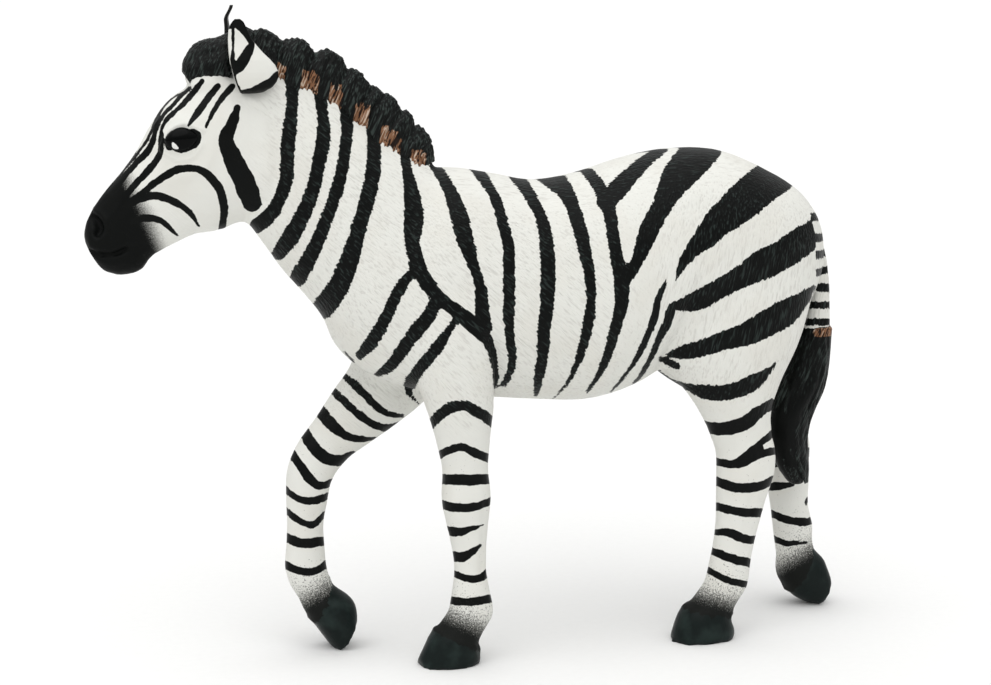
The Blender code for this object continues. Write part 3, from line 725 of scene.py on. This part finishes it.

# Lighter and darker streaks along the fur's marks: painted light and shade of their relief.
white = laid(tree, "#D2D1CB", "#DFDFD9", marks, 0.34, 0.46)
white = laid(tree, white, "#D9D7CF", grain(tree, PATCH_MM, 2.0), 0.45, 0.7, 0.5)
# Light grey lines along the fur's marks in the black: painted glints.
black = laid(tree, "#080A09", "#262D2B", marks, 0.53, 0.7)
edge = broken(tree, at["stripe"], marks, 0.85)
edge = broken(tree, edge, grain(tree, BRISTLE_MM, 2.0), 0.5)
coat = laid(tree, white, black, edge, -0.05, 0.05)
# Sprayed black on the muzzle, and painted shade deep inside the ears' scoops.
spray_and_shade_level = broken(tree, at["spray_and_shade"], specks, 0.6)
coat = laid(tree, coat, "#080A09", spray_and_shade_level, 0.0, 1.0)
stipple = broken(tree, at["dust"], specks, 1.3)
coat = laid(tree, coat, "#0A0C0B", stipple, 0.05, 1.05)
grit = broken(tree, at["dust"], grain(tree, GRIT_MM), 2.6)
coat = laid(tree, coat, "#1A1C1A", grit, 0.42, 0.6, 0.6)
rim = broken(tree, at["hoof"], grain(tree, HOOF_RIM_MM, 1.0), 1.6)
# Lighter patches in the hooves' green-black: a painted sheen.
horn = laid(tree, "#151C1B", "#222C2A", grain(tree, HORN_SHEEN_PATCH_MM, 2.0), 0.4, 0.75)
coat = laid(tree, coat, horn, rim, -0.06, 0.06)

gloss = laid(tree, WHITE_ROUGHNESS, BLACK_ROUGHNESS, edge, -0.04, 0.05, kind="FLOAT")
gloss = laid(tree, 0.0, 1.0, broken(tree, gloss, marks, 0.12), 0.0, 1.0, kind="FLOAT")
gloss = laid(tree, gloss, HORN_ROUGHNESS, rim, -0.06, 0.06, kind="FLOAT")
relief = add(tree, "Bump", "Normal",
             {"Height": marks, "Strength": 1.0, "Distance": FUR_DEPTH_MM / 1000})
fill(tree, shader, {"Base Color": coat, "Roughness": gloss, "IOR": PAINT_IOR,
                    "Specular IOR Level": PAINT_SHINE, "Normal": relief})

place(body)
new_piece("zebra_body", body, paint)


# The ears: two leaves of the same moulding, curled round from the back like a scoop and flat at
# the tip. Black paint on the tip, a slanting band, a crescent at the foot and a line behind the
# rim. The left one opens forwards and the right one, thinner and hooked at its tip, outwards.
EAR_WALL = 0.85
EAR_RINGS = 68
EAR_SIDES = 40
# Rows of the left ear: height, front rim, back edge, half the scoop's width and its middle across.
EAR_ROWS = [(104.2, -45, -43.6, 0.3, -1.6), (104.7, -45.3, -42.9, 0.8, -3),
            (105, -45.7, -41.8, 1.4, -4.3), (105.5, -46, -40.8, 1.75, -4.7),
            (106, -46.2, -40.2, 1.95, -4.9), (106.8, -46.5, -39.6, 2.1, -5.1),
            (107.7, -46.8, -39.25, 2.2, -5.25), (108.7, -47.05, -39.3, 2.2, -5.4),
            (109.8, -47.35, -39.8, 2, -5.6), (110.8, -47.5, -40.6, 1.75, -5.8),
            (112, -47.65, -41.8, 1.2, -6), (113.2, -47.75, -42.8, 0.55, -6.2),
            (114.6, -47.8, -43.8, 0.15, -6.4), (116, -47.7, -44.4, 0.04, -6.6),
            (117, -47.4, -44.8, 0, -6.7), (117.6, -47, -45.1, 0, -6.8),
            (118, -46.6, -45.6, 0, -6.8)]
RIGHT_EAR_TURN = math.radians(98)
RIGHT_EAR_FOOT = np.array((-45.6, 4.3, 104.2))
RIGHT_EAR_TIP = np.array((-46.9, 7.2, 119.6))
RIGHT_EAR_THINNER = 0.25
RIGHT_EAR_BEND = 0.75
RIGHT_EAR_HOOK = 1.2
# The right ear above this height is black on both faces.
RIGHT_EAR_BLACK = 111.8
EAR_STROKES = [
    [(229, 27, 5), (236, 23, 10), (242, 27, 10), (246, 33, 8), (251, 42, 6)],
    [(252, 44, 6), (248.5, 51, 10), (245, 57, 11), (240, 65, 12), (236, 69, 11)],
    [(277, 73, 4), (273.5, 79.5, 8), (266, 85.5, 10), (257, 90, 10), (247, 93, 8), (238, 93, 5)],
    [(280, 79, 6), (274, 90, 8), (262, 97, 8), (246, 100, 8)],
    [(233, 26, 2.8), (233.2, 45, 3), (232.5, 62, 4.5), (233, 74, 5), (235.5, 84, 4.5),
     (239.5, 92, 4)],
]
# How dark the inside of the scoop is painted for each millimetre of its depth: painted shade that
# deepens into the hollow.
EAR_SHADE = 0.9


def scoop():
    """Rings of the left ear's wall about its own axis, the axis, and the depth inside the scoop."""
    rows = np.array(EAR_ROWS)
    spots, axis, depth = [], [], []
    for z_here in np.linspace(rows[0, 0], rows[-1, 0], EAR_RINGS):
        front, back, half, outward = [np.interp(z_here, rows[:, 0], rows[:, k])
                                      for k in range(1, 5)]
        wide = back - front
        wall = EAR_WALL * min(1, 0.45 + 0.5 * wide)
        for face in (1, -1):
            for share in np.linspace(-1, 1, EAR_SIDES)[::face]:
                turn = share * math.pi / 2
                out = np.array((math.cos(turn) / wide, math.sin(turn) / (half + 0.3)))
                out /= np.linalg.norm(out)
                thick = wall / 2 * math.sqrt(1 - 0.98 * abs(share) ** 8)
                thick *= 1 if face > 0 else -min(1, half / 0.6)
                spots.append(((wide - wall / 2) * math.cos(turn) - wide / 2 + thick * out[0],
                              half * math.sin(turn) + thick * out[1], 0))
                axis.append((front + wide / 2, outward, z_here))
                depth.append(-1.0 if face > 0 else math.cos(turn) * wide * 0.5)
    return np.array(spots), np.array(axis), np.array(depth)


def ring_faces(rings, sides, start=0):
    """Quads between rings of points and a cap at each end."""
    quads = []
    for k in range(rings - 1):
        for j in range(sides):
            n = (j + 1) % sides
            low, high = start + k * sides, start + (k + 1) * sides
            quads.append((low + j, low + n, high + n, high + j))
    last = start + (rings - 1) * sides
    caps = [tuple(range(start + sides - 1, start - 1, -1)), tuple(range(last, last + sides))]
    return quads + caps


def closed_mesh(name, spots, faces):
    mesh = bpy.data.meshes.new(name)
    mesh.from_pydata(spots.tolist(), [], faces)
    bm = bmesh.new()
    bm.from_mesh(mesh)
    bmesh.ops.recalc_face_normals(bm, faces=bm.faces)
    bm.to_mesh(mesh)
    bm.free()
    return mesh


ear_section, ear_axis, ear_depth = scoop()
ear_paint = painted(pixels(ear_section + ear_axis), EAR_STROKES, ear_depth < 0) / PIXELS_PER_MM
for name in ("ear_left", "ear_right"):
    spots = ear_section + ear_axis
    if name == "ear_right":
        c, s = math.cos(RIGHT_EAR_TURN), math.sin(RIGHT_EAR_TURN)
        share = (ear_axis[:, 2:] - ear_axis[0, 2]) / (ear_axis[-1, 2] - ear_axis[0, 2])
        spots = RIGHT_EAR_FOOT + share * (RIGHT_EAR_TIP - RIGHT_EAR_FOOT)
        z = spots[:, 2]
        along, across = ear_section[:, :2].T
        across = across * (1 - RIGHT_EAR_THINNER * ramp(z, 110, 114))
        spots[:, 0] += along * c - across * s
        spots[:, 1] -= along * s + across * c
        spots[:, 0] += RIGHT_EAR_HOOK * ramp(z, 117, 119.8) - RIGHT_EAR_BEND * ramp(z, 112, 114.5)
        ear_paint = np.maximum(ear_paint, np.clip(z - RIGHT_EAR_BLACK, -3, 1))
    mesh = closed_mesh(name, spots, ring_faces(EAR_RINGS, 2 * EAR_SIDES))
    set_attribute(mesh, "stripe", ear_paint)
    # The inside of each scoop is darkened with its depth: painted shade in the hollow.
    set_attribute(mesh, "spray_and_shade", np.where(ear_depth > 0, EAR_SHADE * ear_depth, NO_SOOT))
    for attribute in ("hoof", "dust"):
        set_attribute(mesh, attribute, np.full(len(spots), NO_HOOF))
    place(mesh)
    new_piece(name, mesh, paint)


# The eyes: smooth almond domes of the same moulding, painted gloss black by brush, with one dab of
# white low at the front. The gloss gives the eye one small sharp light with an uneven edge.
EYE = (-56.1, 97.1)
EYE_LENGTH = 6.0
EYE_HEIGHT = 4.3
EYE_BULGE = 1.5
EYE_TILT = math.radians(8)
EYE_RINGS = 30
EYE_SIDES = 72
ALMOND = 0.22
RIPPLE_MM = 0.9
RIPPLE_DEPTH_MM = 0.03
DAB = [[(173, 143.5, 2.4), (174.6, 146.4, 4.6), (177.6, 148.2, 2)]]

gloss_black, tree, shader = new_material("gloss_black_paint")
dab = add(tree, "Attribute", "Fac", attribute_name="dab")
ripples = add(tree, "Bump", "Normal",
              {"Height": grain(tree, RIPPLE_MM), "Strength": 0.3,
               "Distance": RIPPLE_DEPTH_MM / 1000})
dab = laid(tree, "#050606", "#E9E9E6", dab, -0.04, 0.04)
fill(tree, shader, {"Base Color": dab, "Roughness": 0.16, "Specular IOR Level": 0.07,
                    "Normal": ripples})

outside = BVHTree.FromPolygons(drawn.tolist(), [tuple(p.vertices) for p in body.polygons])


def side_of_body(px, pz, side):
    """Where the body's skin is, looked at from one side."""
    hit = outside.ray_cast(Vector((px, side * 40, pz)), Vector((0, -side, 0)))[0]
    return hit[1] if hit else 0.0


for name, side in (("eye_left", -1), ("eye_right", 1)):
    seat = side_of_body(EYE[0], EYE[1], side)
    spots = []
    for k in range(EYE_RINGS):
        lift = math.pi / 2 * (1 - k / (EYE_RINGS - 0.5))
        for turn in np.linspace(0, 2 * math.pi, EYE_SIDES, endpoint=False):
            u = math.cos(turn) * math.sin(lift)
            w = math.sin(turn) * math.sin(lift)
            across = EYE_LENGTH / 2 * u
            high = EYE_HEIGHT / 2 * w * (1 - ALMOND * u * u)
            spots.append((EYE[0] + across * math.cos(EYE_TILT) - high * math.sin(EYE_TILT),
                          seat + side * (EYE_BULGE * (math.cos(lift) - 0.75) + 0.12),
                          EYE[1] + high * math.cos(EYE_TILT) + across * math.sin(EYE_TILT)))
    spots = np.array(spots)
    mesh = closed_mesh(name, spots, ring_faces(EYE_RINGS, EYE_SIDES))
    dab = painted(mirrored_pixels(spots), DAB, spots[:, 2] > 0)
    set_attribute(mesh, "dab", dab / PIXELS_PER_MM)
    place(mesh)
    new_piece(name, mesh, gloss_black)


# The hair: upright mane, forelock between the ears and the tail's tuft. Each is a bundle of
# tapering strands moulded into one body, painted black over strands that show brown at the root.
# The paint gives the eye a soft black sheen, broken by fine grey lines along the grooves that are
# painted glints, and streaky brown roots.
HAIR_GRAIN = 0.2
STRAND_SIDES = 7


def strand(path, radii):
    """A tube along a path that tapers with its radii."""
    path = np.array(path)
    ways = np.gradient(path, axis=0)
    ways /= np.linalg.norm(ways, axis=1)[:, None]
    spots = []
    for point, way, radius in zip(path, ways, radii):
        first = np.cross(way, (0, 1, 0))
        first /= np.linalg.norm(first)
        second = np.cross(way, first)
        for turn in np.linspace(0, 2 * math.pi, STRAND_SIDES, endpoint=False):
            spots.append(point + radius * (math.cos(turn) * first + math.sin(turn) * second))
    return np.array(spots)


def bundle(strands):
    """All strands as one fused body, and the strand nearest each of its points."""
    spots, faces, centres, owners = [], [], [], []
    start = 0
    for owner, tube in enumerate(strands):
        spots.append(tube)
        faces += ring_faces(len(tube) // STRAND_SIDES, STRAND_SIDES, start)
        start += len(tube)
        middle = tube.reshape(-1, STRAND_SIDES, 3).mean(1)
        steps = np.arange(0, len(middle) - 0.99, 0.25)
        centres.append(np.stack([np.interp(steps, range(len(middle)), middle[:, k])
                                 for k in range(3)], 1))
        owners += [owner] * len(steps)
    mesh = fused(closed_mesh("hair", np.concatenate(spots), faces), HAIR_GRAIN)
    eased(mesh, 1)
    centres = np.concatenate(centres)
    tree = KDTree(len(centres))
    for k, centre in enumerate(centres):
        tree.insert(centre, k)
    tree.balance()
    return mesh, np.array([owners[tree.find(point)[1]] for point in points_of(mesh)])


def finish_hair(name, mesh, owners, brown, tones):
    """Marks where brown shows and how light each strand is, and sets the piece in its place."""
    set_attribute(mesh, "brown", brown)
    set_attribute(mesh, "tone", tones[owners])
    place(mesh)
    new_piece(name, mesh, hair_paint)


def along_line(points, shares):
    """Points at shares of a smooth line's length."""
    dense = smooth_rows(points, 12)
    run = np.concatenate([[0], np.cumsum(np.linalg.norm(np.diff(dense, axis=0), axis=1))])
    return np.stack([np.interp(np.array(shares) * run[-1], run, dense[:, k]) for k in range(2)], 1)


HAIR_LEAN = math.radians(24)
GROOVE_WIDTH_MM = 0.3
GROOVE_LENGTH_MM = 4.5
GROOVE_DEPTH_MM = 0.2

hair_paint, tree, shader = new_material("black_hair_paint_over_pvc")
roots, tones = [add(tree, "Attribute", "Fac", attribute_name=name)
                for name in ("brown", "tone")]
grooves = streaks(tree, HAIR_LEAN, GROOVE_WIDTH_MM, GROOVE_LENGTH_MM)
level = broken(tree, grooves, tones, 0.12)
# Light grey lines along the grooves in the black: painted glints.
black = laid(tree, "#070908", "#323A37", level, 0.5, 0.72)
brown = laid(tree, "#1E130D", "#7E5940", level, 0.41, 0.49)
# Pale tan streaks: partly the white showing between strands, partly painted highlight.
brown = laid(tree, brown, "#BFAC9A", level, 0.57, 0.68)
roots = broken(tree, roots, grooves, 0.9)
relief = add(tree, "Bump", "Normal",
             {"Height": grooves, "Strength": 1.0, "Distance": GROOVE_DEPTH_MM / 1000})
fill(tree, shader, {"Base Color": laid(tree, black, brown, roots, 0.35, 0.65), "Roughness": 0.36,
                    "IOR": PAINT_IOR, "Specular IOR Level": 0.12, "Normal": relief})

# The mane: stiff upright tufts from the poll to the withers, moulded with the neck. Its outline
# has a tuft's crest between each two of its dips; outer strands lie over thicker inner ones.
MANE_TOP = [(-44.8, 116.4), (-42.7, 116), (-41.5, 116.2), (-39.2, 114.9), (-37.8, 114.3),
            (-36.6, 114.1), (-35.1, 114.3), (-33.9, 113.9), (-32.7, 112.7), (-31.6, 111.9),
            (-30.3, 112.2), (-29.1, 112), (-27.7, 111.3), (-26.7, 110.1), (-26.3, 108.8),
            (-25.3, 108.8), (-24, 108.2), (-22.9, 106.9), (-21.8, 105.9), (-20.7, 105),
            (-19.4, 104.3), (-18.1, 103.7), (-17, 102.3), (-16.2, 101.2), (-15.1, 100.8),
            (-14.2, 99.7), (-13.7, 98.1), (-12.9, 97.9), (-11.6, 97), (-10.7, 95.2), (-10.2, 92)]
MANE_FEET = [(-44.5, 109), (-39.6, 108), (-35.3, 105.7), (-32.6, 104.9), (-30.1, 103),
             (-27.8, 102.1), (-26.3, 99.8), (-23.4, 98.2), (-21.3, 95.8), (-17.6, 93.8),
             (-14.8, 92), (-12, 91)]
TUFT_DIPS = (-46, -42.7, -37.6, -31.8, -26.4, -21.6, -19.6, -16, -13.7, -10)
MANE_STRANDS = 92
MANE_HALF = 2.75
OUTER_RADIUS = 0.36
INNER_RADIUS = 0.75
# The strands' roots in the photo's view; where along them brown shows and how far up, in pixels.
MANE_FOOT = ((272, 78), (285, 84), (300, 90), (316, 94), (330, 105), (343, 108), (352, 122),
             (368, 129), (380, 145), (400, 153), (415, 162), (430, 168))
BROWN_ROOTS = ((275, 284, 19), (300, 317, 20), (328, 341, 19), (353, 367, 21), (379, 400, 18),
               (410, 425, 12))
ROOT_SLANT = 0.14
ROOT_SPREAD = 8

draw = np.random.default_rng(7)
shares = (np.arange(MANE_STRANDS) + 0.5) / MANE_STRANDS
feet = along_line(MANE_FEET, np.clip(shares + draw.uniform(-0.004, 0.004, MANE_STRANDS), 0, 1))
heads = along_line(MANE_TOP, shares)
dips = np.array(TUFT_DIPS)
strands = []
for row, (foot, head) in enumerate(zip(feet, heads)):
    tuft_number = np.searchsorted(dips, head[0]) - 1
    across = (head[0] - dips[tuft_number]) / (dips[tuft_number + 1] - dips[tuft_number])
    round_off = math.sqrt(max(1 - (2 * across - 1) ** 2, 0))
    for layer, side in ((1.0, -1), (1.0, 1), (0.5, -1), (0.5, 1), (0.0, 1)):
        if layer < 1 and row % 2:
            continue
        jitter = draw.uniform(-1, 1, 5)
        tip_x = head[0] + 0.35 * (0.5 - across)
        tip_z = head[1] - 0.55 + 0.4 * round_off - 0.5 * layer + 0.2 * jitter[1]
        down = (0.6 + 0.6 * jitter[2]) * layer
        low_x, low_z = foot[0] - 0.4 * down, foot[1] - down
        low_y = side * max(abs(side_of_body(low_x, low_z, side)) - 0.2, 0.4) * (layer > 0)
        half = MANE_HALF * (0.72 + 0.28 * round_off) + 0.2 * jitter[3] * (layer == 1)
        path = []
        for t in np.linspace(0, 1, 9):
            bulge = side * layer * half * (1 - 0.62 * t ** 2.4)
            y_here = low_y + (bulge - low_y) * min(t / 0.22, 1) ** 0.8
            bow = math.sin(math.pi * t ** 1.3) * (0.75 + 0.2 * jitter[4])
            path.append((low_x + (tip_x - low_x) * t - bow, y_here,
                         low_z + (tip_z - low_z) * t + 0.3 * bow))
        thick = OUTER_RADIUS + 0.06 * jitter[0] if layer == 1 else INNER_RADIUS
        radii = thick * np.array((0.3, 0.7, 0.9, 1, 1, 1, 1, 0.9, 0.6))
        strands.append(strand(path, radii))
mane, owners = bundle(strands)
tones = draw.random(len(strands))
spots = points_of(mane)
flat = mirrored_pixels(spots)
foot_v = np.interp(flat[:, 0], *np.array(MANE_FOOT).T)
root_u = flat[:, 0] - ROOT_SLANT * np.maximum(foot_v - flat[:, 1], 0)
rise = np.interp(root_u, *np.array(MANE_FOOT).T) - flat[:, 1]
brown = np.zeros(len(spots))
uneven = ROOT_SPREAD * (draw.random(len(strands)) - 0.6)[owners]
for low, high, reach in BROWN_ROOTS:
    share = ramp(root_u, low - 1, low + 1) * (1 - ramp(root_u, high - 1, high + 1))
    brown = np.maximum(brown, share * (1 - ramp(rise - uneven, reach - 3, reach + 3)))
finish_hair("mane", mane, owners, brown, tones)

# The forelock: a rounded block of short upright strands between the ears, moulded with the head
# and all black. Its outline is its crown, from the mane to the brow, and its fringe.
FORELOCK_TOP = [(-46.6, 115.6), (-49, 114.5), (-51.8, 114), (-53.9, 112.7), (-54.9, 110.9)]
FORELOCK_FOOT = [(-46.2, 108.6), (-49.6, 107.5), (-52.2, 106.9), (-53.9, 106.7), (-54.9, 108)]
FORELOCK_HALF = 4.0
FORELOCK_ROWS = 22
FORELOCK_COLUMNS = 15
# Seen from above, both of its ends are rounded by this share.
FORELOCK_ROUND = 0.6

strands = []
shares = np.linspace(0.01, 0.99, FORELOCK_ROWS)
for share, foot, head in zip(np.linspace(0, 1, FORELOCK_ROWS), along_line(FORELOCK_FOOT, shares),
                             along_line(FORELOCK_TOP, shares)):
    rounded = math.sqrt(1 - FORELOCK_ROUND * abs(2 * share - 1) ** 5)
    for across in np.linspace(-1, 1, FORELOCK_COLUMNS):
        jitter = draw.uniform(-1, 1, 4)
        edge = math.sqrt(1 - 0.75 * across * across)
        top = head + (-0.1 * abs(across), -1.6 * across * across + 0.16 * jitter[0])
        low = foot + (0.3 + 0.15 * jitter[1], -0.35 + 0.6 * jitter[2])
        path = []
        for t in np.linspace(0, 1, 8):
            out = FORELOCK_HALF * across * (0.8 + 0.3 * math.sin(math.pi * min(t + 0.12, 1)))
            out *= rounded
            out *= 0.72 + 0.28 * edge
            ahead = -0.5 * share * math.sin(math.pi * t)
            path.append((low[0] + (top[0] - low[0]) * t + ahead, out,
                         low[1] + (top[1] - low[1]) * t))
        thick = OUTER_RADIUS + 0.05 * jitter[3]
        strands.append(strand(path, thick * np.array((0.4, 0.8, 1, 1.05, 1.05, 1, 0.9, 0.6))))
forelock, owners = bundle(strands)
finish_hair("forelock", forelock, owners, np.zeros(len(owners)), draw.random(len(strands)))

# The tail's tuft: long strands round a core, moulded with the tail and brown where they spring
# from it. Its rows are its front and back edge in the side view and its fullness.
TUFT = [(69.4, 57, 64.8, 56.9, 0.64), (69.3, 55.5, 63.8, 55.4, 0.7), (69.1, 52, 62.2, 51, 0.82),
        (68.4, 45.6, 58.4, 46, 0.95), (66.6, 41.6, 56.7, 42.6, 1), (65.3, 38.6, 56.5, 39, 1),
        (64.7, 34.8, 57.2, 34.6, 0.95), (65, 30.5, 58.8, 30.5, 0.8), (65.2, 26.4, 61, 27, 0.6)]
TUFT_HALF = 3.6
TUFT_STRANDS = 44
TUFT_CORES = 9
CORE_REACH = 0.42
CORE_RADIUS = 1.15
STRAND_REACH = 0.88
STRAND_RADIUS = 0.5

rows = smooth_rows(TUFT, 3)
strands = []
for k in range(TUFT_STRANDS + TUFT_CORES):
    core = k >= TUFT_STRANDS
    jitter = draw.uniform(-1, 1, 5)
    turn = 2 * math.pi * (k / (TUFT_CORES if core else TUFT_STRANDS))
    reach = CORE_REACH if core else STRAND_REACH + 0.05 * jitter[4]
    ends = len(rows) if core or jitter[0] < 0.2 else len(rows) - 1 - int(abs(jitter[1]) * 4)
    path, radii = [], []
    for step, (ax, az, bx, bz, full) in enumerate(rows[:ends]):
        angle = turn + 0.05 * step + 0.1 * math.sin(0.9 * step + 5 * jitter[2])
        middle = np.array((ax + bx, az + bz)) / 2
        half = np.array((ax - bx, az - bz)) / 2
        flat = middle + half * reach * math.cos(angle)
        path.append((flat[0], TUFT_HALF * full * reach * math.sin(angle), flat[1]))
        radii.append((CORE_RADIUS if core else STRAND_RADIUS) * (0.45 + 0.55 * full))
    radii[0] *= 0.4
    radii[-1] *= 0.35
    radii[-2] *= 0.7
    strands.append(strand(path, radii))
tail_tuft, owners = bundle(strands)
x, y, z = points_of(tail_tuft).T
fringe = ramp(z, 54.9, 55.7) * ramp(x, 64.2, 65.8)
finish_hair("tail_tuft", tail_tuft, owners, fringe, draw.random(len(strands)))
